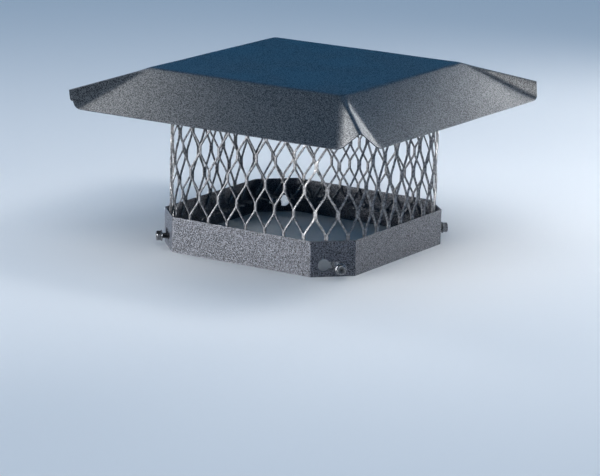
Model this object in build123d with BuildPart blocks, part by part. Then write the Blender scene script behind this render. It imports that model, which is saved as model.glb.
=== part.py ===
"""Bolt-on rain cap for one square flue: a folded hood over an expanded-metal screen,
standing in a sheet band that four bolts clamp around the flue.

Millimetres, +Z up. The origin is the centre of the band's lower edge. The corner called
front is the one at +X -Y, and the others follow it counterclockwise: right, back, left.
"""

import os
from math import acos, atan2, cos, degrees, hypot, pi, radians, sin, sqrt

from build123d import *

# Band around the flue
band_side = 241.0            # across opposite flat sides, outside
band_corner_cut = 33.5       # leg of each cut corner
band_height = 38.1
band_sheet = 0.8
band_bend_radius = 2.0       # outside of the eight bends

# Clamp bolts, quarter-inch hex washer heads, one inch long
bolt_radius = 3.175
bolt_length = 25.4           # under the washer
bolt_tip_chamfer = 0.8
bolt_height = 12.5           # axis above the band's lower edge
washer_radius = 6.1
washer_thickness = 1.0
head_across_flats = 9.53
head_height = 4.9
head_chamfer = 0.5
recess_radius = 2.9
recess_depth = 0.8
bolt_standoff = 7.0          # band to washer, on the three bolts that are run in
front_bolt_standoff = 18.0   # the front one is backed out

# Nuts behind the band, and the keyholes that let them in
nut_across_flats = 9.53
nut_thickness = 5.0
nut_chamfer = 0.4
nut_gap = 0.3                # nut to band before its bolt is tightened
thread_clearance = 0.05      # nut bore around the bolt
slot_clearance = 0.35        # slot around the bolt
keyhole_radius = 6.35
keyhole_offset = 9.5         # round end from the corner's middle, along the band
slot_reach = 4.0             # the slot's other end from there, the other way
front_bolt_shift = 4.0       # the front bolt stands at its slot's end, the others midway

# Expanded-metal screen
screen_thickness = 2.0       # overall, over the tilted strands
screen_corner_clearance = 0.65
short_pitch = 23.44          # nominal width of one diamond
long_pitch = 50.8            # height of one diamond
strand_width = 2.5
bond_row_above_band = 0.7    # the row of strand crossings just over the band
screen_shift = 4.8           # sideways place of that row's crossings from a side's centre
ledge_clearance = 0.7        # turned-in lower edge above the nuts
ledge_width = 18.3           # how far that edge reaches in, to stand on the flue
flange_width = 10.9          # how far the upper edge reaches in under the hood

# Hood, one square sheet with clipped corners
hood_sheet = 0.8
hood_top_height = 194.7
hood_top_margin = 0.8        # fold lines outside the screen
skirt_length = 80.0          # down the slope
skirt_angle = radians(28.8)  # below level
valley_offset = 42.0         # how far each skirt runs past the flat top at its rim

corner_names = ["front", "right", "back", "left"]
pieces = []


def finish(part, name):
    """Label a finished piece and put it with the others."""
    part.label = name
    pieces.append(part)


# Band: a strip bent into a square with cut corners, with a keyhole in each corner
band_half = band_side / 2
band_inner_half = band_half - band_sheet
corner_distance = sqrt(2) * band_half - band_corner_cut / sqrt(2)
corner_inner_distance = corner_distance - band_sheet
slot_width = 2 * (bolt_radius + slot_clearance)


def corner_plane(index, distance, shift=0):
    """Upright plane across a corner's diagonal at bolt height, seen from outside."""
    normal = Vector(1, -1, 0).normalized().rotate(Axis.Z, 90 * index)
    across = Vector(1, 1, 0).normalized().rotate(Axis.Z, 90 * index)
    origin = normal * distance + across * shift + Vector(0, 0, bolt_height)
    return Plane(origin=origin, x_dir=across, z_dir=normal)


def band_outline(inset):
    """Square with cut corners, moved in by the same distance on all eight sides."""
    with BuildSketch() as outline:
        Rectangle(2 * (band_half - inset), 2 * (band_half - inset))
        chamfer(outline.vertices(), band_corner_cut - inset * (2 - sqrt(2)))
        fillet(outline.vertices(), band_bend_radius - inset)
    return outline.sketch


with BuildPart() as collar_band:
    with BuildSketch():
        add(band_outline(0))
        add(band_outline(band_sheet), mode=Mode.SUBTRACT)
    extrude(amount=band_height)
    for index in range(4):
        with BuildSketch(corner_plane(index, corner_distance)):
            with Locations((-keyhole_offset, 0)):
                Circle(keyhole_radius)
            with Locations(((slot_reach - keyhole_offset) / 2, 0)):
                SlotCenterToCenter(slot_reach + keyhole_offset, slot_width)
    extrude(amount=band_sheet * 2, both=True, mode=Mode.SUBTRACT)
finish(collar_band.part, "collar_band")

# Bolts and nuts, one of each at every corner
for index, corner in enumerate(corner_names):
    standoff = front_bolt_standoff if corner == "front" else bolt_standoff
    shift = front_bolt_shift if corner == "front" else 0
    washer_plane = corner_plane(index, corner_distance + standoff, shift)
    outward = Axis(washer_plane.origin, washer_plane.z_dir)
    with BuildPart() as clamp_bolt:
        with BuildSketch(washer_plane):
            Circle(bolt_radius)
        extrude(amount=-bolt_length)
        chamfer(clamp_bolt.edges().sort_by(outward)[0], bolt_tip_chamfer)
        with BuildSketch(washer_plane):
            Circle(washer_radius)
        extrude(amount=washer_thickness)
        with BuildSketch(washer_plane.offset(washer_thickness)):
            RegularPolygon(head_across_flats / 2, 6, major_radius=False)
        extrude(amount=head_height)
        chamfer(clamp_bolt.faces().sort_by(outward)[-1].edges(), head_chamfer)
        with BuildSketch(washer_plane.offset(washer_thickness + head_height)):
            Circle(recess_radius)
        extrude(amount=-recess_depth, mode=Mode.SUBTRACT)
    finish(clamp_bolt.part, "clamp_bolt_" + corner)

    with BuildPart() as clamp_nut:
        with BuildSketch(corner_plane(index, corner_inner_distance - nut_gap, shift)):
            RegularPolygon(nut_across_flats / 2, 6, major_radius=False)
        extrude(amount=-nut_thickness)
        nut_faces = clamp_nut.faces().sort_by(outward)
        chamfer(nut_faces[0].edges() + nut_faces[-1].edges(), nut_chamfer)
        with BuildSketch(corner_plane(index, corner_inner_distance, shift)):
            Circle(bolt_radius + thread_clearance)
        extrude(amount=-2 * nut_thickness, mode=Mode.SUBTRACT)
    finish(clamp_nut.part, "clamp_nut_" + corner)

# Screen: one strip of expanded metal bent into a round-cornered square, both edges turned in
hood_drop = hood_sheet / cos(skirt_angle)  # straight down through the hood's sheet
screen_top = hood_top_height - hood_drop
screen_half = band_inner_half
screen_radius = (
    sqrt(2) * screen_half - corner_inner_distance + screen_corner_clearance
) / (sqrt(2) - 1)
ledge_height = bolt_height + nut_across_flats / 2 + ledge_clearance
ledge_middle = ledge_height + screen_thickness / 2
flange_middle = screen_top - screen_thickness / 2
middle_half = screen_half - screen_thickness / 2
middle_radius = screen_radius - screen_thickness / 2
straight_run = 2 * (middle_half - middle_radius)
side_run = straight_run + middle_radius * pi / 2
columns_per_side = round(side_run / short_pitch)
column_pitch = side_run / columns_per_side
row_pitch = long_pitch / 2


def wall_plane(along):
    """Upright plane in the screen's wall, this far along the strip from a side's centre."""
    turns, rest = divmod(along + side_run / 2, side_run)
    rest -= side_run / 2
    bend = max(abs(rest) - straight_run / 2, 0) / middle_radius
    side = 1 if rest > 0 else -1
    pivot = Vector(side * min(abs(rest), straight_run / 2), middle_radius - middle_half, 0)
    outward = Vector(0, -1, 0).rotate(Axis.Z, side * degrees(bend))
    place = pivot + outward * middle_radius
    return Plane(
        origin=place.rotate(Axis.Z, 90 * turns),
        x_dir=Vector(0, 0, 1).cross(outward).rotate(Axis.Z, 90 * turns),
        z_dir=outward.rotate(Axis.Z, 90 * turns),
    )


# Each diamond is the strands' lattice cell, made smaller by half a strand on every side
cell_edge = hypot(column_pitch / 2, row_pitch)
opening_scale = 1 - strand_width * cell_edge / (column_pitch * row_pitch)
opening_half_width = opening_scale * column_pitch / 2
opening_half_height = opening_scale * row_pitch
opening_corners = [
    (0, opening_half_height),
    (-opening_half_width, 0),
    (0, -opening_half_height),
    (opening_half_width, 0),
]
lowest_row = band_height + bond_row_above_band - 2 * row_pitch
highest_row = flange_middle + flange_width + row_pitch
row_heights = []
while lowest_row + len(row_heights) * row_pitch < highest_row:
    row_heights.append(lowest_row + len(row_heights) * row_pitch)


def row_places(row_index):
    """How far along the strip the diamonds of one row lie, half a pitch off its crossings."""
    first = screen_shift + column_pitch * (1 + row_index % 2) / 2
    return [first + column * column_pitch for column in range(4 * columns_per_side)]


def past_bend(row_height, bend_height, direction):
    """Outline of a diamond where it lies past a bend, as sideways and inward distances."""
    outline = []
    folded = [(x, direction * (row_height + y - bend_height)) for x, y in opening_corners]
    for (x, inward), (next_x, next_inward) in zip(folded, folded[1:] + folded[:1]):
        if inward >= 0:
            outline.append((x, inward))
        if inward * next_inward < 0:
            share = inward / (inward - next_inward)
            outline.append((x + share * (next_x - x), 0))
    return outline


def edge_openings(bend_height, direction, width):
    """The diamonds, or parts of them, that lie on one turned-in edge."""
    with BuildSketch(Plane.XY.offset(bend_height)) as openings:
        for row_index, row_height in enumerate(row_heights):
            outline = past_bend(row_height, bend_height, direction)
            if not outline or min(inward for x, inward in outline) > width:
                continue
            for along in row_places(row_index):
                planes = [wall_plane(along + x) for x, inward in outline]
                points = [
                    plane.origin - plane.z_dir * inward
                    for plane, (x, inward) in zip(planes, outline)
                ]
                Polygon(*[(point.X, point.Y) for point in points], align=None)
    return openings.sketch


ledge_openings = edge_openings(ledge_middle, -1, ledge_width)
flange_openings = edge_openings(flange_middle, 1, flange_width)

with BuildPart() as screen:
    with BuildSketch(Plane.XY.offset(ledge_height)):
        RectangleRounded(2 * screen_half, 2 * screen_half, screen_radius)
    extrude(amount=screen_top - ledge_height)
    for bottom, top, inset in (
        (ledge_height, screen_top, screen_thickness / 2 + ledge_width),
        (ledge_height + screen_thickness, screen_top, screen_thickness / 2 + flange_width),
        (ledge_height + screen_thickness, screen_top - screen_thickness, screen_thickness),
    ):
        with BuildSketch(Plane.XY.offset(bottom)):
            RectangleRounded(
                2 * (screen_half - inset), 2 * (screen_half - inset), screen_radius - inset
            )
        extrude(amount=top - bottom, mode=Mode.SUBTRACT)
    for first_row in (0, 1):
        wall_rows = [
            (0, row_height)
            for row_height in row_heights[first_row::2]
            if abs(row_height - (ledge_middle + flange_middle) / 2)
            < opening_half_height + (flange_middle - ledge_middle) / 2
        ]
        for along in row_places(first_row):
            with BuildSketch(wall_plane(along)):
                with Locations(wall_rows):
                    Polygon(*opening_corners, align=None)
    extrude(amount=screen_thickness, both=True, mode=Mode.SUBTRACT, clean=False)
    for openings in (ledge_openings, flange_openings):
        extrude(openings, amount=screen_thickness, both=True, mode=Mode.SUBTRACT, clean=False)
finish(screen.part, "screen")

# Hood: the sheet folds down along the flat top's four edges. At each corner the spare metal
# stands up as a crest between two valleys, and every panel keeps its shape from the flat sheet.
top_half = screen_half + hood_top_margin
skirt_reach = skirt_length * cos(skirt_angle)
skirt_drop = skirt_length * sin(skirt_angle)
valley_length = hypot(valley_offset, skirt_length)
crest_length = (valley_offset + skirt_length) / sqrt(2)
crest_to_valley = atan2(skirt_length, valley_offset) - pi / 4

# The crest's end, from the triangle it makes with the top's corner and the middle of the
# line between the two valley ends
middle_reach = (valley_offset + skirt_reach) / sqrt(2)
middle_distance = hypot(middle_reach, skirt_drop)
clipped_half = (skirt_length - valley_offset) / sqrt(2)
valley_gap_half = (skirt_reach - valley_offset) / sqrt(2)
crest_above_middle_squared = clipped_half**2 - valley_gap_half**2
crest_rise = acos(
    (crest_length**2 + middle_distance**2 - crest_above_middle_squared)
    / (2 * crest_length * middle_distance)
)
crest_fall = atan2(skirt_drop, middle_reach) - crest_rise

top_corner = Vector(top_half, -top_half, hood_top_height)
crest_end = top_corner + Vector(
    crest_length * cos(crest_fall) / sqrt(2),
    -crest_length * cos(crest_fall) / sqrt(2),
    -crest_length * sin(crest_fall),
)
valley_ends = [
    top_corner + Vector(valley_offset, -skirt_reach, -skirt_drop),
    top_corner + Vector(skirt_reach, -valley_offset, -skirt_drop),
]
skirt_corners = [
    (-top_half, 0),
    (-top_half - valley_offset, -skirt_length),
    (top_half + valley_offset, -skirt_length),
    (top_half, 0),
]


def turned(vector, index):
    """The same vector at another side or corner of the square."""
    return vector.rotate(Axis.Z, 90 * index)


with BuildPart() as hood:
    with BuildSketch(Plane.XY.offset(hood_top_height)):
        Rectangle(2 * top_half, 2 * top_half)
    for index in range(4):
        skirt_plane = Plane(
            origin=turned(Vector(0, -top_half, hood_top_height), index),
            x_dir=turned(Vector(1, 0, 0), index),
            z_dir=turned(Vector(0, -sin(skirt_angle), cos(skirt_angle)), index),
        )
        with BuildSketch(skirt_plane):
            Polygon(*skirt_corners, align=None)
        for valley_end, side in zip(valley_ends, (1, -1)):
            valley = turned(valley_end - top_corner, index)
            crest = turned(crest_end - top_corner, index)
            facet_plane = Plane(
                origin=turned(top_corner, index), x_dir=valley, z_dir=valley.cross(crest) * side
            )
            crest_point = (
                crest_length * cos(crest_to_valley),
                side * crest_length * sin(crest_to_valley),
            )
            with BuildSketch(facet_plane):
                Polygon((0, 0), (valley_length, 0), crest_point, align=None)
    extrude(amount=hood_drop, dir=(0, 0, -1))
finish(hood.part, "hood")

os.makedirs("parts", exist_ok=True)
for piece in pieces:
    export_step(piece, "parts/" + piece.label + ".step")
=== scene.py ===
# %% [markdown]
# # A square rain cap
# The cap is three pieces of coated steel and some hardware: a folded hood, a screen of expanded
# metal and a band with a clamp bolt and its nut in each cut corner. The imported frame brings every
# piece in at its true size and place, in metres, with +Z up. This lesson dresses it: the hood and
# the screen are modelled again with their soft folds and twisted strands, the bolts get their
# threads, and everything gets its finish.

# %% Load the frame
from math import acos, atan2, cos, degrees, hypot, pi, radians, sin, sqrt, tan

import bmesh
import bpy
from mathutils import Matrix, Vector, noise


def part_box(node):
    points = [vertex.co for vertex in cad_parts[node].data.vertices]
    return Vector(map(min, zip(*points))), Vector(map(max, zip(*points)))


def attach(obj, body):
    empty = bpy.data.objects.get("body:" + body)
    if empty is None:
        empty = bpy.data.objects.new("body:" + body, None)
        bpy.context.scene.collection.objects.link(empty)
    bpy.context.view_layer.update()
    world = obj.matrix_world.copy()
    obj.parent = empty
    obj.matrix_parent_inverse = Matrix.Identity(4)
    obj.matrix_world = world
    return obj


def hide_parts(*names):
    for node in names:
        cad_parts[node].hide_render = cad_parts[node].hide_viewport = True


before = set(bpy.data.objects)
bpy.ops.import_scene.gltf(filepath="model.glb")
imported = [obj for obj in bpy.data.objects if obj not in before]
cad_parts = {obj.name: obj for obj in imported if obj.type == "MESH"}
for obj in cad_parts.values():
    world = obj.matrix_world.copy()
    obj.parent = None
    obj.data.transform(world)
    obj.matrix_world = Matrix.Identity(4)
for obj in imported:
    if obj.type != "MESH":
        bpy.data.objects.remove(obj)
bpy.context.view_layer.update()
corner_names = ["front", "right", "back", "left"]
print("nodes:", sorted(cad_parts))

# %% [markdown]
# ## The camera
# A long lens far away gives the flat, nearly parallel look of a product shot. The camera stands
# about three metres off, looks down by fourteen degrees onto one corner, and leans over a little.
# Its turn is built from three plain rotations: heading, tilt and roll, the last one about its own
# line of sight.

# %% Set up the camera
camera_place = Vector((1.6913, -2.6423, 0.7745))
camera_heading = radians(32.68)
camera_tilt = radians(13.78)
camera_roll = radians(1.31)
camera_lens = 180.3

camera_data = bpy.data.cameras.new("camera")
camera_data.lens = camera_lens
camera_data.sensor_width = 36
camera = bpy.data.objects.new("camera", camera_data)
bpy.context.collection.objects.link(camera)
camera_turn = (
    Matrix.Rotation(camera_heading, 4, "Z")
    @ Matrix.Rotation(pi / 2 - camera_tilt, 4, "X")
    @ Matrix.Rotation(camera_roll, 4, "Z")
)
camera.matrix_world = Matrix.Translation(camera_place) @ camera_turn
bpy.context.scene.camera = camera
print("camera is", round(camera_place.length, 2), "m away")

# %% [markdown]
# ## Floor and light
# The floor is one large pale sheet. A dark coat shows little but what it mirrors, so each lamp
# stands where some part of the cap mirrors it to the camera. Three strips stand low and far off
# for the upright band and the strands. They end below the hood's top, because a lamp above that
# plane would burn it white when it is seen from the far side. Two short strips shine in under the
# hood onto the band's inner walls. Four small boxes close to the hood give its skirts and corners
# their sheen. A grid narrows a lamp's beam where it must not spill over, onto the floor or along a
# skirt. Two broad boxes, overhead and in front, light the floor. The camera sees none of the lamps,
# and the world adds a weak blue light all round.

# %% Lay the floor
floor_half = 12.0
floor_colour = (0.86, 0.85, 0.83, 1)
floor_roughness = 0.9

floor_bm = bmesh.new()
bmesh.ops.create_grid(floor_bm, x_segments=1, y_segments=1, size=floor_half)
floor_mesh = bpy.data.meshes.new("floor")
floor_bm.to_mesh(floor_mesh)
floor_bm.free()
floor = bpy.data.objects.new("floor", floor_mesh)
bpy.context.collection.objects.link(floor)
floor_material = bpy.data.materials.new("floor_paper")
floor_material.use_nodes = True
floor_shader = floor_material.node_tree.nodes["Principled BSDF"]
floor_shader.inputs["Base Color"].default_value = floor_colour
floor_shader.inputs["Roughness"].default_value = floor_roughness
floor_mesh.materials.append(floor_material)
print("floor is", 2 * floor_half, "m square")

# %% Make a lamp
no_grid = pi
grid = radians(60)
mid_height = (0, 0, 0.1)


def add_softbox(
    name, azimuth, elevation, distance, width, height, power, aim=mid_height, beam=no_grid
):
    """A soft box, placed by its direction from where it aims, round from -Y towards +X."""
    aim = Vector(aim)
    heading = radians(azimuth)
    rise = radians(elevation)
    direction = Vector((sin(heading) * cos(rise), -cos(heading) * cos(rise), sin(rise)))
    data = bpy.data.lights.new(name, "AREA")
    data.shape = "RECTANGLE"
    data.size = width
    data.size_y = height
    data.energy = power
    data.spread = beam
    lamp = bpy.data.objects.new(name, data)
    bpy.context.collection.objects.link(lamp)
    lamp.location = aim + direction * distance
    lamp.rotation_euler = direction.to_track_quat("Z", "Y").to_euler()
    lamp.visible_camera = False
    print(name, "at", [round(part, 2) for part in lamp.location])


# %% Hang the lights
strip_distance, strip_height = 4.6, 0.16
inner_distance, inner_height = 1.1, 0.07
under_hood = (0, 0, 0.15)
past_left_skirt = (-0.38, -0.15, 0.17)
past_right_skirt = (0.17, 0.43, 0.15)
right_crest = (0.17, 0.17, 0.17)
front_corner = (0.155, -0.18, 0.155)
world_colour = (0.06, 0.44, 0.97, 1)
world_strength = 0.31

# name, azimuth and elevation in degrees, distance, width, height, watts, aim and beam
add_softbox("left_strip", -36, 0, strip_distance, 2.9, strip_height, 215)
add_softbox("side_strip", -66, 0, strip_distance, 1.5, strip_height, 72)
add_softbox("right_strip", 145, 0, strip_distance, 2.1, strip_height, 34)
add_softbox("left_inner_strip", -30, 0, inner_distance, 0.5, inner_height, 0.8, under_hood, grid)
add_softbox("right_inner_strip", 147, 0, inner_distance, 0.4, inner_height, 0.5, under_hood, grid)
add_softbox("left_skirt_softbox", -114, 52, 0.9, 0.3, 0.4, 1.25, past_left_skirt)
add_softbox("right_skirt_softbox", -173, 30, 0.8, 0.35, 0.22, 1.9, past_right_skirt)
add_softbox("crest_softbox", 124, 60, 0.8, 0.3, 0.3, 3.2, right_crest)
add_softbox("corner_softbox", -105, 26, 0.7, 0.22, 0.2, 0.1, front_corner, grid)
add_softbox("overhead_softbox", 0, 88, 3.2, 3.0, 3.0, 13)
add_softbox("front_softbox", 36, 50, 6.5, 5.0, 4.0, 150)

world = bpy.data.worlds.new("studio")
world.use_nodes = True
world_back = world.node_tree.nodes["Background"]
world_back.inputs["Color"].default_value = world_colour
world_back.inputs["Strength"].default_value = world_strength
bpy.context.scene.world = world
bpy.context.scene.view_settings.view_transform = "Standard"

# %% [markdown]
# ## Three helpers for every new piece
# A bmesh is finished into an object by one helper. Where a piece ends in modifiers, such as a
# bevel or a wall thickness, a second helper bakes them into the mesh, so that the sharp edges can
# be marked on the real result. The third marks them: smooth shading, with sharp edges beyond a
# set angle, is what makes bent sheet look bent and sheared edges look sheared.

# %% Make objects from meshes
smooth_limit = radians(35)


def make_piece(bm, name):
    """A finished bmesh becomes a named object at the origin."""
    mesh = bpy.data.meshes.new(name)
    bm.to_mesh(mesh)
    bm.free()
    piece = bpy.data.objects.new(name, mesh)
    bpy.context.collection.objects.link(piece)
    return piece


def bake_modifiers(piece):
    """Swap a piece's mesh for the one its modifiers make, and drop the modifiers."""
    shaped = piece.evaluated_get(bpy.context.evaluated_depsgraph_get())
    mesh = bpy.data.meshes.new_from_object(shaped)
    piece.modifiers.clear()
    piece.data = mesh


def shade_sheet(piece, limit=smooth_limit):
    """Smooth shading, with edges sharper than the limit kept sharp."""
    piece.data.shade_smooth()
    piece.data.set_sharp_from_angle(angle=limit)
    print(piece.name, "has", len(piece.data.polygons), "faces")


# %% [markdown]
# ## The hood: one sheet, folded
# The real hood is a square of thin steel with clipped corners, laid over a former and pressed
# down along four lines. The metal left over at each corner stands up in a crest between two soft
# valleys. It could be drawn as five flat panels, but then its corners would look like paper. Here
# the flat top is one face, the skirts are extruded from its edges, and the crest is placed where
# an unstretched sheet must put it. Its tip keeps the distances that it has in the flat sheet, to
# the top's corner and to the ends of both valleys. So the triangle between that corner, the tip
# and the middle of the two ends has three known sides, and they give the crest's angle.

# %% Work out the folds from the flat sheet
hood_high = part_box("hood")[1]
hood_sheet = 0.0008
skirt_length = 0.080
skirt_angle = radians(28.8)
valley_offset = 0.042

skirt_reach = skirt_length * cos(skirt_angle)
skirt_drop = skirt_length * sin(skirt_angle)
top_half = hood_high.x - skirt_reach
crest_length = (valley_offset + skirt_length) / sqrt(2)
middle_reach = (valley_offset + skirt_reach) / sqrt(2)
middle_distance = hypot(middle_reach, skirt_drop)
clipped_half = (skirt_length - valley_offset) / sqrt(2)
valley_gap_half = (skirt_reach - valley_offset) / sqrt(2)
tip_squared = clipped_half**2 - valley_gap_half**2
crest_rise = acos(
    (crest_length**2 + middle_distance**2 - tip_squared) / (2 * crest_length * middle_distance)
)
crest_fall = atan2(skirt_drop, middle_reach) - crest_rise
print("flat top", round(2000 * top_half, 1), "mm, crest falls", round(degrees(crest_fall), 1), "deg")

# %% Extrude the skirts and raise the crests
up = Vector((0, 0, 1))
hood_bm = bmesh.new()
bmesh.ops.create_grid(hood_bm, x_segments=1, y_segments=1, size=top_half)
bmesh.ops.translate(hood_bm, verts=hood_bm.verts[:], vec=up * hood_high.z)
top_corners = hood_bm.verts[:]
top_edges = hood_bm.edges[:]
valley_ends = {corner: [] for corner in top_corners}
for edge in top_edges:
    middle = (edge.verts[0].co + edge.verts[1].co) / 2
    outward = Vector((middle.x, middle.y, 0)).normalized()
    skirt = bmesh.ops.extrude_edge_only(hood_bm, edges=[edge])["geom"]
    rim = [part for part in skirt if isinstance(part, bmesh.types.BMVert)]
    for vert in rim:
        corner = min(top_corners, key=lambda c: (c.co - vert.co).length)
        sideways = (corner.co - middle).normalized()
        vert.co += outward * skirt_reach - up * skirt_drop + sideways * valley_offset
        valley_ends[corner].append(vert)
for corner, ends in valley_ends.items():
    diagonal = Vector((corner.co.x, corner.co.y, 0)).normalized()
    crest = hood_bm.verts.new(
        corner.co + diagonal * crest_length * cos(crest_fall) - up * crest_length * sin(crest_fall)
    )
    for end in ends:
        bmesh.ops.contextual_create(hood_bm, geom=[corner, end, crest])
bmesh.ops.recalc_face_normals(hood_bm, faces=hood_bm.faces[:])
flat_top = max(hood_bm.faces, key=lambda face: face.calc_center_median().z)
if flat_top.normal.z < 0:
    bmesh.ops.reverse_faces(hood_bm, faces=hood_bm.faces[:])
print("hood starts as", len(hood_bm.faces), "flat panels")

# %% [markdown]
# ## Soft bends
# A brake never leaves a sharp fold: the sheet runs round it. Each kind of fold has its own
# softness, tightest along the top and widest in the valleys, where nothing pressed on the metal.
# The Bevel modifier takes a width for each edge from a weight, and the wall thickness then comes
# from Solidify. Between the two the panels are cut into a regular grid, and its points get a very
# slight waviness, because large thin sheets are never quite flat. The waves go inwards only, so
# the hood keeps its size.

# %% Round the folds
fold_widths = {"top": 0.0030, "valley": 0.0055, "crest": 0.0036}
widest_fold = max(fold_widths.values())
fold_segments = 5
close_enough = 1e-5

weights = hood_bm.edges.layers.float.new("bevel_weight_edge")
for edge in hood_bm.edges:
    if len(edge.link_faces) < 2:
        continue
    ends = [vert in top_corners for vert in edge.verts]
    run = edge.verts[1].co - edge.verts[0].co
    if all(ends):
        kind = "top"
    elif abs(abs(run.x) - abs(run.y)) < close_enough:
        kind = "crest"
    else:
        kind = "valley"
    edge[weights] = fold_widths[kind] / widest_fold
hood = make_piece(hood_bm, "folded_hood")
fold = hood.modifiers.new("folds", "BEVEL")
fold.limit_method = "WEIGHT"
fold.width = widest_fold
fold.segments = fold_segments
fold.use_clamp_overlap = True
bake_modifiers(hood)
print("folded hood has", len(hood.data.polygons), "faces")

# %% Wave the panels and give the sheet its thickness
wave_height = 0.00025
wave_length = 0.075
cut_spacing = 0.0132
cuts_each_way = int(hood_high.x / cut_spacing)

wavy_bm = bmesh.new()
wavy_bm.from_mesh(hood.data)
for direction in (Vector((1, 0, 0)), Vector((0, 1, 0))):
    for step in range(-cuts_each_way, cuts_each_way + 1):
        bmesh.ops.bisect_plane(
            wavy_bm,
            geom=wavy_bm.verts[:] + wavy_bm.edges[:] + wavy_bm.faces[:],
            plane_co=direction * step * cut_spacing,
            plane_no=direction,
        )
wavy_bm.normal_update()
for vert in wavy_bm.verts:
    vert.co += vert.normal * wave_height * (noise.noise(vert.co / wave_length) - 1)
wavy_bm.to_mesh(hood.data)
wavy_bm.free()

thickness = hood.modifiers.new("thickness", "SOLIDIFY")
thickness.thickness = hood_sheet
thickness.offset = -1
thickness.use_even_offset = True
bake_modifiers(hood)
shade_sheet(hood)
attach(hood, "cap")
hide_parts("hood")

# %% [markdown]
# ## The screen: slit, pulled and bent
# Expanded metal is made from a solid sheet. A press cuts short slits in staggered rows, and the
# sheet is then pulled sideways until the slits open into diamonds. Nothing is woven or welded:
# each strand is a narrow strip of the sheet, joined to its neighbours where the slits stop, and
# the pull twists every strand the same way. Modelling it in the same order gives the real
# pattern: a flat grid is split along the slits, each strand is moved to its opened place, and the
# strip is then wrapped into a round-cornered square with both edges turned in.

# %% Choose the mesh of the screen
screen_low, screen_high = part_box("screen")
strand_width = 0.0020
strand_thickness = 0.0013
strand_tilt = radians(27)
diamond_height = 0.0508
row_height = diamond_height / 2
steps_per_row = 12
bond_steps = 2
columns_round = 36
strand_count = 2 * columns_round
screen_shift = 0.0048
first_row = -0.0120
row_count = 9
strand_ease = 0.2
strand_smooth_limit = radians(40)

bend_radius = 0.0025
ledge_width = 0.0183
flange_width = 0.0109
corner_radius = 0.057957
half_depth = strand_width * sin(strand_tilt) + strand_thickness * cos(strand_tilt) / 2
wall_half = screen_high.x - half_depth
wall_radius = corner_radius - half_depth
ledge_level = screen_low.z + half_depth
flange_level = screen_high.z - half_depth
straight_run = 2 * (wall_half - wall_radius)
side_run = straight_run + wall_radius * pi / 2
line_pitch = 4 * side_run / strand_count
print("a diamond is", round(2000 * line_pitch, 2), "by", 1000 * diamond_height, "mm")

# %% Slit the flat sheet
total_steps = row_count * steps_per_row
screen_bm = bmesh.new()
bmesh.ops.create_grid(screen_bm, x_segments=strand_count, y_segments=total_steps, size=0.5)


def line_of(x):
    """Number of the slit line at this place across the blank."""
    return (x + 0.5) * strand_count


def step_of(y):
    """Number of the step at this place along the blank."""
    return round((y + 0.5) * total_steps)


def is_bonded(line, step):
    """True where this line of the blank is left uncut."""
    nearest_row = round(step / steps_per_row)
    if (line + nearest_row) % 2:
        return False
    return abs(step - nearest_row * steps_per_row) <= bond_steps


slits = []
for edge in screen_bm.edges:
    low_end, high_end = edge.verts
    line = line_of(low_end.co.x)
    runs_across = abs(line - line_of(high_end.co.x)) > 0.5
    if runs_across:
        continue
    if all(is_bonded(round(line), step_of(end.co.y)) for end in edge.verts):
        continue
    slits.append(edge)
bmesh.ops.split_edges(screen_bm, edges=[edge for edge in slits if len(edge.link_faces) == 2])
print(len(slits), "edges slit")

# %% Work out where a strand goes


def opened(strand, side, step):
    """Where a strand's left (-1) or right (+1) edge goes: along the strip, up it, and out of it."""
    row, into_row = divmod(step, steps_per_row)
    share = (into_row - bond_steps) / (steps_per_row - 2 * bond_steps)
    share = min(max(share, 0), 1)
    lean = (1 - strand_ease) * share + strand_ease * share * share * (3 - 2 * share)
    starts_left = (strand + row) % 2 == 0
    reach = strand_width / 2 * cos(strand_tilt)
    low_centre = strand * line_pitch + reach if starts_left else (strand + 1) * line_pitch - reach
    high_centre = (strand + 1) * line_pitch - reach if starts_left else strand * line_pitch + reach
    centre = low_centre + lean * (high_centre - low_centre)
    low_out = strand_width / 2 * sin(strand_tilt) * (1 if starts_left else -1)
    out = low_out * (1 - 2 * lean)
    slope = 0 if share in (0, 1) else (high_centre - low_centre) / row_height
    turn = atan2(slope, 1)
    half = strand_width / 2 * side
    return Vector((
        centre + half * cos(strand_tilt) * cos(turn),
        first_row + step * row_height / steps_per_row - half * cos(strand_tilt) * sin(turn),
        out + half * sin(strand_tilt),
    ))


# %% Pull it open
opened_places = []
for vert in screen_bm.verts:
    step = step_of(vert.co.y)
    centre_x = vert.link_faces[0].calc_center_median().x
    strand = int(line_of(centre_x))
    side = -1 if vert.co.x < centre_x else 1
    opened_places.append(opened(strand, side, step))
for vert, place in zip(screen_bm.verts, opened_places):
    vert.co = place
for level, direction in (
    (ledge_level - ledge_width, -1),
    (flange_level + flange_width, 1),
):
    bmesh.ops.bisect_plane(
        screen_bm,
        geom=screen_bm.verts[:] + screen_bm.edges[:] + screen_bm.faces[:],
        plane_co=(0, level, 0),
        plane_no=(0, direction, 0),
        clear_outer=True,
    )
print("strip is", round(1000 * 4 * side_run), "mm long")

# %% Work out the bends


def around(along):
    """Point of the wall's middle line this far along the strip, and the way out there."""
    turns, rest = divmod(along + side_run / 2, side_run)
    rest -= side_run / 2
    bend = max(abs(rest) - straight_run / 2, 0) / wall_radius
    side = 1 if rest > 0 else -1
    pivot = Vector((side * min(abs(rest), straight_run / 2), wall_radius - wall_half, 0))
    outward = Matrix.Rotation(side * bend, 3, "Z") @ Vector((0, -1, 0))
    quarter_turns = Matrix.Rotation(turns * pi / 2, 3, "Z")
    return quarter_turns @ (pivot + outward * wall_radius), quarter_turns @ outward


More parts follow.
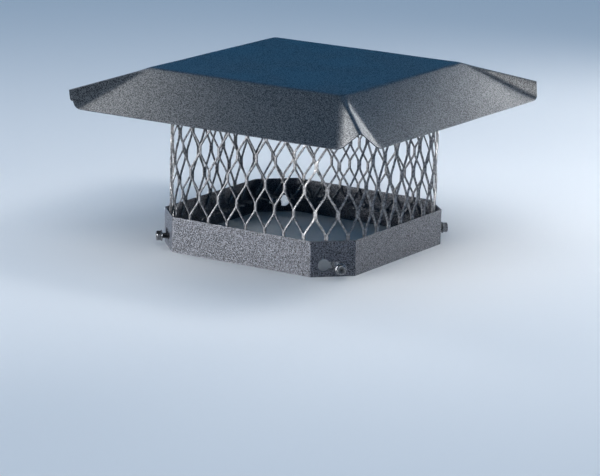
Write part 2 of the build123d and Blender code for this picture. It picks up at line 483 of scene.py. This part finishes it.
def wrapped(place):
    """The same place after the strip is bent round and its two edges are turned in."""
    on_line, outward = around(screen_shift + place.x)
    past_ledge = (ledge_level + bend_radius - place.y) / bend_radius
    past_flange = (place.y - flange_level + bend_radius) / bend_radius
    past, downward = (past_ledge, 1) if past_ledge > past_flange else (past_flange, -1)
    if past <= 0:
        return on_line + up * place.y + outward * place.z
    angle = min(past, 2) * pi / 4
    level = ledge_level if downward == 1 else flange_level
    inward = bend_radius * (1 - cos(angle)) + bend_radius * max(past - 2, 0)
    height = level + downward * bend_radius * (1 - sin(angle))
    normal = outward * cos(angle) - up * downward * sin(angle)
    return on_line - outward * inward + up * height + normal * place.z


# %% Wrap it into a square
for vert in screen_bm.verts:
    vert.co = wrapped(vert.co)
bmesh.ops.remove_doubles(screen_bm, verts=screen_bm.verts[:], dist=1e-6)
bmesh.ops.recalc_face_normals(screen_bm, faces=screen_bm.faces[:])
screen = make_piece(screen_bm, "expanded_screen")
depth = screen.modifiers.new("depth", "SOLIDIFY")
depth.thickness = strand_thickness
depth.offset = 0
depth.use_even_offset = True
bake_modifiers(screen)
shade_sheet(screen, strand_smooth_limit)
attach(screen, "cap")
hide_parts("screen")

# %% [markdown]
# ## The clamp bolts: turned, pressed and threaded
# Each bolt is a quarter-inch hex washer-head bolt, forged from wire, with a thread rolled all the
# way up. A modelled cylinder with a hexagon on it would do from afar, but not from near. So the
# head is spun from an outline like a turned part, and its six flats are then pressed into it:
# that order leaves the curved edges where the chamfer's cone meets the flats, as on real heads.

# %% Measure the bolt
bolt_radius = 0.003175
bolt_length = 0.0254
washer_radius = 0.0061
washer_thickness = 0.0010
flat_radius = 0.00953 / 2
head_height = 0.0049
head_top = washer_thickness + head_height
recess_radius = 0.0029
recess_depth = 0.0008
recess_floor = head_top - recess_depth
base_fillet = 0.0004
rim_round = 0.0003
foot_round = 0.0002
head_steps = 48

chamfer_angle = radians(30)
corner_reach = flat_radius / cos(pi / 6)
chamfer_steps = 6
chamfer_start = flat_radius * 0.94
chamfer_drop = (corner_reach - chamfer_start) * tan(chamfer_angle)
print("head is", round(2000 * corner_reach, 1), "mm over its corners")

# %% Spin the head from its outline


def turned(outline, steps):
    """A closed shape spun round the Z axis from (radius, height) points."""
    bm = bmesh.new()
    verts = [bm.verts.new((radius, 0, height)) for radius, height in outline]
    for pair in zip(verts, verts[1:]):
        bm.edges.new(pair)
    bmesh.ops.spin(
        bm, geom=bm.verts[:] + bm.edges[:], cent=(0, 0, 0), axis=(0, 0, 1),
        angle=2 * pi, steps=steps, use_merge=True,
    )
    bmesh.ops.remove_doubles(bm, verts=bm.verts[:], dist=1e-7)
    bmesh.ops.recalc_face_normals(bm, faces=bm.faces[:])
    return bm


recess = [
    (0, recess_floor),
    (recess_radius * 0.75, recess_floor),
    (recess_radius * 0.93, recess_floor + recess_depth * 0.3),
    (recess_radius, head_top - 0.0001),
    (recess_radius + 0.0001, head_top),
]
chamfer = []
for step in range(chamfer_steps + 1):
    share = step / chamfer_steps
    radius = chamfer_start + share * (corner_reach - chamfer_start)
    chamfer.append((radius, head_top - share * chamfer_drop))
head_foot = [
    (corner_reach, washer_thickness + base_fillet),
    (corner_reach, washer_thickness + base_fillet / 3),
    (corner_reach, washer_thickness + base_fillet / 20),
]
washer = [
    (washer_radius - rim_round, washer_thickness - rim_round / 6),
    (washer_radius - rim_round / 3, washer_thickness - rim_round / 2),
    (washer_radius, washer_thickness - rim_round),
    (washer_radius, foot_round),
    (washer_radius - foot_round * 0.75, foot_round / 5),
    (washer_radius - foot_round * 2, 0),
    (0, 0),
]
head_bm = turned(recess + chamfer + head_foot + washer, head_steps)
print("head has", len(head_bm.faces), "faces")

# %% Press its six flats
fillet_depth = 0.8 * base_fillet


def flat_reach(vert):
    """How far out the nearest flat of the hexagon lies in this vertex's direction."""
    angle = atan2(vert.co.y, vert.co.x) % (pi / 3) - pi / 6
    return flat_radius / cos(angle)


pressed = 0
for vert in head_bm.verts:
    radius = hypot(vert.co.x, vert.co.y)
    if vert.co.z <= washer_thickness or radius < recess_radius:
        continue
    above_base = (vert.co.z - washer_thickness) / base_fillet
    flare = fillet_depth * max(1 - above_base, 0) ** 2
    reach = min(radius, flat_reach(vert) + flare)
    pressed += reach < radius
    vert.co.x *= reach / radius
    vert.co.y *= reach / radius
print(pressed, "points pressed in")

# %% [markdown]
# A thread is one ridge wound round the bolt. The spin operator can do that too: while it turns
# the outline of a single ridge it also moves it along a little at each step, so that after one
# full turn it has gone on by one pitch and joins up with itself. Two cuts give the length, and the
# ridges are pressed down near the tip, where the real bolt is chamfered to find its nut.

# %% Wind the thread
thread_pitch = 0.00127
thread_depth = 0.61 * thread_pitch
thread_root = bolt_radius - thread_depth
thread_steps = 24
thread_turns = 23
tip_chamfer = 0.0008
shank_hidden = 0.0005

thread_bm = bmesh.new()
ridge = [
    (thread_root, 0), (thread_root, 0.25), (bolt_radius, 0.5625), (bolt_radius, 0.6875),
    (thread_root, 1),
]
ridge_verts = [
    thread_bm.verts.new((radius, 0, (share + 1) * thread_pitch)) for radius, share in ridge
]
for pair in zip(ridge_verts, ridge_verts[1:]):
    thread_bm.edges.new(pair)
bmesh.ops.spin(
    thread_bm, geom=thread_bm.verts[:] + thread_bm.edges[:], cent=(0, 0, 0), axis=(0, 0, 1),
    dvec=(0, 0, -thread_pitch / thread_steps), angle=2 * pi * thread_turns,
    steps=thread_turns * thread_steps, use_merge=False,
)
bmesh.ops.remove_doubles(thread_bm, verts=thread_bm.verts[:], dist=2e-6)
for level, direction in ((shank_hidden, 1), (-bolt_length, -1)):
    bmesh.ops.bisect_plane(
        thread_bm,
        geom=thread_bm.verts[:] + thread_bm.edges[:] + thread_bm.faces[:],
        plane_co=(0, 0, level),
        plane_no=(0, 0, direction),
        clear_outer=True,
    )
for vert in thread_bm.verts:
    radius = hypot(vert.co.x, vert.co.y)
    most = bolt_radius - tip_chamfer + vert.co.z + bolt_length
    if radius > most:
        vert.co.x *= most / radius
        vert.co.y *= most / radius
open_edges = [edge for edge in thread_bm.edges if edge.is_boundary]
bmesh.ops.holes_fill(thread_bm, edges=open_edges, sides=0)
bmesh.ops.recalc_face_normals(thread_bm, faces=thread_bm.faces[:])
left_open = sum(edge.is_boundary for edge in thread_bm.edges)
print("thread has", len(thread_bm.faces), "faces and", left_open, "open edges")

# %% Set a bolt in each corner
corner_sides = {"front": (1, -1), "right": (1, 1), "back": (-1, 1), "left": (-1, -1)}
bolt_turns = {"front": 14, "right": 37, "back": 52, "left": 25}
bolt_smooth_limit = radians(28)

head_mesh = bpy.data.meshes.new("head")
head_bm.to_mesh(head_mesh)
head_bm.free()
thread_mesh = bpy.data.meshes.new("thread")
thread_bm.to_mesh(thread_mesh)
thread_bm.free()
bolts = []
for name in corner_names:
    outward = Vector((*corner_sides[name], 0)).normalized()
    across = up.cross(outward)
    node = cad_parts["clamp_bolt_" + name]
    head_end = max(vert.co.dot(outward) for vert in node.data.vertices)
    low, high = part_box("clamp_bolt_" + name)
    middle = (low + high) / 2
    seat = outward * (head_end - head_top) + across * middle.dot(across) + up * middle.z
    turn = outward.to_track_quat("Z", "Y").to_matrix().to_4x4()
    turn = turn @ Matrix.Rotation(radians(bolt_turns[name]), 4, "Z")
    bolt_bm = bmesh.new()
    bolt_bm.from_mesh(head_mesh)
    bolt_bm.from_mesh(thread_mesh)
    # How far out of a hollow each point lies; the material paints shade where this is low.
    out_of_hollow = bolt_bm.verts.layers.float.new("out_of_hollow")
    for vert in bolt_bm.verts:
        radius = hypot(vert.co.x, vert.co.y)
        if vert.co.z < 0:
            vert[out_of_hollow] = (radius - thread_root) / (bolt_radius - thread_root)
        else:
            vert[out_of_hollow] = radius / flat_radius
    bmesh.ops.transform(bolt_bm, matrix=Matrix.Translation(seat) @ turn, verts=bolt_bm.verts[:])
    bolt = make_piece(bolt_bm, "threaded_bolt_" + name)
    shade_sheet(bolt, bolt_smooth_limit)
    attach(bolt, "bolt_" + name)
    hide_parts("clamp_bolt_" + name)
    bolts.append(bolt)

# %% [markdown]
# ## Finishes: groups that several materials share
# The cap has three coats and two plated finishes, but only three effects: the pebbled grain of
# baked powder, with a painted glint on its tips and painted shade in its gaps, wear and a painted
# highlight along a line, and dust on what faces up. Each effect is a node group with named inputs,
# built once. A group hands out colours, masks and heights, and the shader itself stays in the
# material, where it can be read at a glance.

# %% Make groups and nodes


def new_group(name, inputs, outputs):
    """An empty node group with its sockets, given as name: default and name: socket type."""
    group = bpy.data.node_groups.new(name, "ShaderNodeTree")
    for title, default in inputs.items():
        kind = "NodeSocketColor" if isinstance(default, tuple) else "NodeSocketFloat"
        socket = group.interface.new_socket(title, in_out="INPUT", socket_type=kind)
        socket.default_value = default
    for title, kind in outputs.items():
        group.interface.new_socket(title, in_out="OUTPUT", socket_type=kind)
    return group, group.nodes.new("NodeGroupInput"), group.nodes.new("NodeGroupOutput")


def add_node(tree, kind, links=None, **settings):
    """A node with its settings; links maps an input to a socket or to a plain value."""
    node = tree.nodes.new(kind)
    for title, value in settings.items():
        setattr(node, title, value)
    for title, source in (links or {}).items():
        if isinstance(source, bpy.types.NodeSocket):
            tree.links.new(source, node.inputs[title])
        else:
            node.inputs[title].default_value = source
    return node


def calculate(tree, operation, *values, clamp=False):
    """The result of one Math node; each value is a number or a socket."""
    node = add_node(tree, "ShaderNodeMath", dict(enumerate(values)), operation=operation)
    node.use_clamp = clamp
    return node.outputs[0]


# %% Stretch values, mix colours and make noise
noise_offset = (0.31, 0.17, 0.23)
noise_turn = (0.5, 0.4, 0.7)


def stretch(tree, value, low, high, new_low=0.0, new_high=1.0):
    """Stretch a value from one range to another, held inside the new one."""
    node = add_node(
        tree, "ShaderNodeMapRange",
        {"Value": value, "From Min": low, "From Max": high, "To Min": new_low, "To Max": new_high},
    )
    return node.outputs["Result"]


def blend_colours(tree, share, first, second):
    """Mix two colours by a share from 0 to 1."""
    share_input, first_input, second_input, colour_output = 0, 6, 7, 2
    links = {share_input: share, first_input: first, second_input: second}
    return add_node(tree, "ShaderNodeMix", links, data_type="RGBA").outputs[colour_output]


def object_noise(tree, scale, detail=2.0, roughness=0.5):
    """Noise that is fixed to the piece, turned so that its own grid follows none of the sheets."""
    place = add_node(tree, "ShaderNodeTexCoord").outputs["Object"]
    moves = {"Vector": place, "Location": noise_offset, "Rotation": noise_turn}
    turned_place = add_node(tree, "ShaderNodeMapping", moves).outputs["Vector"]
    links = {"Vector": turned_place, "Scale": scale, "Detail": detail, "Roughness": roughness}
    return add_node(tree, "ShaderNodeTexNoise", links).outputs["Fac"]


# %% Group: the grain of a baked or plated surface, with painted glint and shade in its colour
clump_fineness = 0.4
clump_weight = 0.15
gap_height, tip_height = 0.48, 0.68
drift_scale = 16.0
drift_low, drift_high = 0.35, 0.65
most_unevenness = 0.04

grain_and_glint_group, given, made = new_group(
    "grain_and_painted_glint",
    {"Dark": (0, 0, 0, 1), "Light": (1, 1, 1, 1), "Grain Scale": 900.0, "Roughness": 0.5},
    {"Color": "NodeSocketColor", "Roughness": "NodeSocketFloat", "Height": "NodeSocketFloat",
     "Gloss": "NodeSocketFloat"},
)
grains = object_noise(grain_and_glint_group, given.outputs["Grain Scale"], detail=1, roughness=0.4)
clump_scale = calculate(grain_and_glint_group, "MULTIPLY", given.outputs["Grain Scale"], clump_fineness)
clumps = object_noise(grain_and_glint_group, clump_scale)
drift = object_noise(grain_and_glint_group, drift_scale, detail=3)
height = calculate(grain_and_glint_group, "MULTIPLY_ADD", clumps, clump_weight, grains)
# The colour follows the grain's height: the paler tips are partly a painted glint and the darker
# gaps partly painted shade, on top of the grain's own tone.
share = stretch(grain_and_glint_group, height, gap_height, tip_height)
colour = blend_colours(grain_and_glint_group, share, given.outputs["Dark"], given.outputs["Light"])
unevenness = stretch(grain_and_glint_group, drift, drift_low, drift_high, -most_unevenness, most_unevenness)
roughness = calculate(grain_and_glint_group, "ADD", given.outputs["Roughness"], unevenness)
grain_and_glint_group.links.new(colour, made.inputs["Color"])
grain_and_glint_group.links.new(roughness, made.inputs["Roughness"])
grain_and_glint_group.links.new(height, made.inputs["Height"])
grain_and_glint_group.links.new(share, made.inputs["Gloss"])

# %% Group: wear and a painted highlight along a line
break_scale = 160.0
break_low, break_high = 0.42, 0.60

wear_and_highlight_group, given, made = new_group(
    "line_wear_and_highlight",
    {"Distance": 1.0, "Reach": 0.001, "Amount": 0.5},
    {"Mask": "NodeSocketFloat"},
)
nearness = calculate(wear_and_highlight_group, "DIVIDE", given.outputs["Distance"], given.outputs["Reach"])
nearness = calculate(wear_and_highlight_group, "SUBTRACT", 1.0, nearness, clamp=True)
breaks = object_noise(wear_and_highlight_group, break_scale, detail=4, roughness=0.6)
breaks = stretch(wear_and_highlight_group, breaks, break_low, break_high)
mask = calculate(wear_and_highlight_group, "MULTIPLY", nearness, breaks)
mask = calculate(wear_and_highlight_group, "MULTIPLY", mask, given.outputs["Amount"], clamp=True)
wear_and_highlight_group.links.new(mask, made.inputs["Mask"])

# %% Group: dust on what faces up
holds_dust, level_enough = 0.3, 1.0
patch_scale = 45.0
patch_low, patch_high = 0.38, 0.68

dust_group, given, made = new_group(
    "settled_dust", {"Amount": 0.1}, {"Mask": "NodeSocketFloat"}
)
normal = add_node(dust_group, "ShaderNodeTexCoord").outputs["Normal"]
facing_up = add_node(dust_group, "ShaderNodeSeparateXYZ", {"Vector": normal}).outputs["Z"]
facing_up = stretch(dust_group, facing_up, holds_dust, level_enough)
patches = object_noise(dust_group, patch_scale, detail=5, roughness=0.65)
patches = stretch(dust_group, patches, patch_low, patch_high)
mask = calculate(dust_group, "MULTIPLY", facing_up, patches)
mask = calculate(dust_group, "MULTIPLY", mask, given.outputs["Amount"], clamp=True)
dust_group.links.new(mask, made.inputs["Mask"])
print("groups:", [group.name for group in bpy.data.node_groups])

# %% [markdown]
# ## The powder coat of hood and band
# Powder coat is sprayed on dry and baked until it flows. On this cap it is a charcoal black with
# a pebbled grain of about a millimetre. Its colours lean blue: a painted reflection of a blue sky.
# The grain is too fine to model, so it is bump, with colour in it: the tips of the pebbles are
# painted paler and the gaps darker, partly the coat's own grain and partly a painted glint on the
# tips and painted shade in the gaps. It also sets the weight of the shader's clear coat, because
# the tips shine and the gaps don't. The rims and crests are a touch greyer: partly wear, where the
# coat is thinnest and handled most, and partly a painted highlight along the edges.

# %% Make the powder coat
dust_colour = (0.20, 0.19, 0.175, 1)
# Rims and crests turn this paler grey: partly wear, partly a painted highlight along the edges.
worn_and_highlit_colour = (0.15, 0.155, 0.165, 1)
edge_reach = 0.0016
dust_dulls = 0.3


def start_material(name):
    """A new material with its node tree and its shader."""
    material = bpy.data.materials.new(name)
    material.use_nodes = True
    return material, material.node_tree, material.node_tree.nodes["Principled BSDF"]


def use_group(tree, group, values):
    """A group placed in a material with its own values."""
    return add_node(tree, "ShaderNodeGroup", values, node_tree=group).outputs


def set_normal(tree, shader, height, distance):
    """Lift the surface by a height of 0 to 1 times a distance in metres."""
    links = {"Height": height, "Distance": distance}
    tree.links.new(
        add_node(tree, "ShaderNodeBump", links).outputs["Normal"], shader.inputs["Normal"]
    )


def coat(name, values, base_gloss, grain_height, edge_distance, wear_and_highlight_amount, dust_amount):
    """Powder coat whose wear and painted edge highlight follow a distance worked out in the tree."""
    material, tree, shader = start_material(name)
    grain_and_glint = use_group(tree, grain_and_glint_group, values)
    wear_and_highlight_values = {"Distance": edge_distance(tree), "Reach": edge_reach, "Amount": wear_and_highlight_amount}
    # This mask carries wear and a painted highlight along the edges at once.
    worn_and_highlit = use_group(tree, wear_and_highlight_group, wear_and_highlight_values)["Mask"]
    dusty = use_group(tree, dust_group, {"Amount": dust_amount})["Mask"]
    colour = blend_colours(tree, worn_and_highlit, grain_and_glint["Color"], worn_and_highlit_colour)
    colour = blend_colours(tree, dusty, colour, dust_colour)
    roughness = calculate(tree, "MULTIPLY_ADD", dusty, dust_dulls, grain_and_glint["Roughness"])
    tree.links.new(colour, shader.inputs["Base Color"])
    tree.links.new(roughness, shader.inputs["Roughness"])
    tree.links.new(grain_and_glint["Gloss"], shader.inputs["Coat Weight"])
    shader.inputs["Coat Roughness"].default_value = values["Roughness"]
    shader.inputs["Specular IOR Level"].default_value = base_gloss
    set_normal(tree, shader, grain_and_glint["Height"], grain_height)
    return material


# %% Coat the hood and the band
band_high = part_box("collar_band")[1]


def own_place(tree):
    """A point's own X, Y and Z on its piece."""
    place = add_node(tree, "ShaderNodeTexCoord").outputs["Object"]
    return add_node(tree, "ShaderNodeSeparateXYZ", {"Vector": place}).outputs


def hood_edges(tree):
    """Distance to the hood's rim or to a crest, whichever is nearer."""
    place = own_place(tree)
    along_x = calculate(tree, "ABSOLUTE", place["X"])
    along_y = calculate(tree, "ABSOLUTE", place["Y"])
    out = calculate(tree, "MAXIMUM", along_x, along_y)
    off_diagonal = calculate(tree, "ABSOLUTE", calculate(tree, "SUBTRACT", along_x, along_y))
    to_rim = calculate(tree, "SUBTRACT", hood_high.x, out)
    to_skirt = calculate(tree, "SUBTRACT", top_half, out)
    to_crest = calculate(tree, "MAXIMUM", off_diagonal, to_skirt)
    return calculate(tree, "MINIMUM", to_rim, to_crest)


def band_edges(tree):
    """Distance to the band's upper or lower edge."""
    height = own_place(tree)["Z"]
    to_top = calculate(tree, "SUBTRACT", band_high.z, height)
    return calculate(tree, "MINIMUM", to_top, height)


# The blue in these colours is a painted reflection of a blue sky, and the pale grain tips are partly
# a painted glint.
hood_coat = coat(
    "hood_powder_coat",
    {"Dark": (0.002, 0.004, 0.007, 1), "Light": (0.028, 0.033, 0.038, 1),
     "Grain Scale": 820.0, "Roughness": 0.34},
    base_gloss=0.2, grain_height=0.00022, edge_distance=hood_edges, wear_and_highlight_amount=0.4,
    dust_amount=0.02,
)
band_coat = coat(
    "band_powder_coat",
    {"Dark": (0.003, 0.004, 0.007, 1), "Light": (0.088, 0.097, 0.127, 1),
     "Grain Scale": 980.0, "Roughness": 0.39},
    base_gloss=0.4, grain_height=0.0014, edge_distance=band_edges, wear_and_highlight_amount=0.4,
    dust_amount=0.04,
)
hood.data.materials.clear()
hood.data.materials.append(hood_coat)
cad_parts["collar_band"].material_slots[0].material = band_coat
print("coats on", hood.name, "and collar_band")

# %% [markdown]
# ## The screen's enamel
# The strands' black enamel is painted paler in small patches, as a painted highlight, so that
# lit strands look grey; each tilted strand also flashes along its whole length. The patches come
# from the grain group again, set about twice as coarse. A soft bump keeps the flashes from looking
# like plastic.

# %% Coat the screen
enamel_dust = 0.25
enamel_gloss = 0.75
enamel_height = 0.00018

screen_coat_painted_bright, tree, shader = start_material("screen_enamel_painted_bright")
# Both colours are far paler than the black enamel: a painted highlight on the strands.
grain_and_glint = use_group(tree, grain_and_glint_group, {
    "Dark": (0.046, 0.046, 0.049, 1), "Light": (0.205, 0.204, 0.210, 1),
    "Grain Scale": 420.0, "Roughness": 0.36,
})
dusty = use_group(tree, dust_group, {"Amount": enamel_dust})["Mask"]
colour = blend_colours(tree, dusty, grain_and_glint["Color"], dust_colour)
tree.links.new(colour, shader.inputs["Base Color"])
tree.links.new(grain_and_glint["Roughness"], shader.inputs["Roughness"])
shader.inputs["Specular IOR Level"].default_value = enamel_gloss
set_normal(tree, shader, grain_and_glint["Height"], enamel_height)
screen.data.materials.clear()
screen.data.materials.append(screen_coat_painted_bright)
print("enamel on", screen.name)

# %% [markdown]
# ## Zinc on the bolts and nuts
# Plated steel is a metal, so its colour is the tint of its reflections and there is no paint under
# it. The thread roots and the middle of the head, with its recess, are painted near black and made
# rougher: painted shade in those hollows. The crests and flats keep the plating's brighter colour.
# Each bolt carries how far out of a hollow each point lies as a value on its vertices, written when
# the mesh was made, so the pattern follows the thread exactly.

# %% Plate the bolts
# Near black in the thread roots and the head's middle: painted shade.
painted_hollow_shade_colour = (0.035, 0.034, 0.033, 1)
dull_roughness = 0.2
unshaded_low, unshaded_high = 0.1, 0.9
bolt_grain_height = 0.00003

bolt_zinc, tree, shader = start_material("bolt_zinc")
grain_and_glint = use_group(tree, grain_and_glint_group, {
    "Dark": (0.10, 0.102, 0.108, 1), "Light": (0.30, 0.305, 0.315, 1),
    "Grain Scale": 1400.0, "Roughness": 0.30,
})
unshaded = add_node(tree, "ShaderNodeAttribute", attribute_name="out_of_hollow").outputs["Fac"]
unshaded = stretch(tree, unshaded, unshaded_low, unshaded_high)
colour = blend_colours(tree, unshaded, painted_hollow_shade_colour, grain_and_glint["Color"])
dulled = calculate(tree, "SUBTRACT", 1.0, unshaded)
roughness = calculate(tree, "MULTIPLY_ADD", dulled, dull_roughness, grain_and_glint["Roughness"])
tree.links.new(colour, shader.inputs["Base Color"])
tree.links.new(roughness, shader.inputs["Roughness"])
shader.inputs["Metallic"].default_value = 1.0
set_normal(tree, shader, grain_and_glint["Height"], bolt_grain_height)
for bolt in bolts:
    bolt.data.materials.clear()
    bolt.data.materials.append(bolt_zinc)
print("zinc on", len(bolts), "bolts")

# %% Plate the nuts
nut_grain_height = 0.00004

nut_zinc, tree, shader = start_material("nut_zinc")
grain_and_glint = use_group(tree, grain_and_glint_group, {
    "Dark": (0.12, 0.12, 0.124, 1), "Light": (0.30, 0.30, 0.308, 1),
    "Grain Scale": 1100.0, "Roughness": 0.42,
})
tree.links.new(grain_and_glint["Color"], shader.inputs["Base Color"])
tree.links.new(grain_and_glint["Roughness"], shader.inputs["Roughness"])
shader.inputs["Metallic"].default_value = 1.0
set_normal(tree, shader, grain_and_glint["Height"], nut_grain_height)
for name in corner_names:
    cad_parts["clamp_nut_" + name].material_slots[0].material = nut_zinc
print("zinc on", len(corner_names), "nuts")
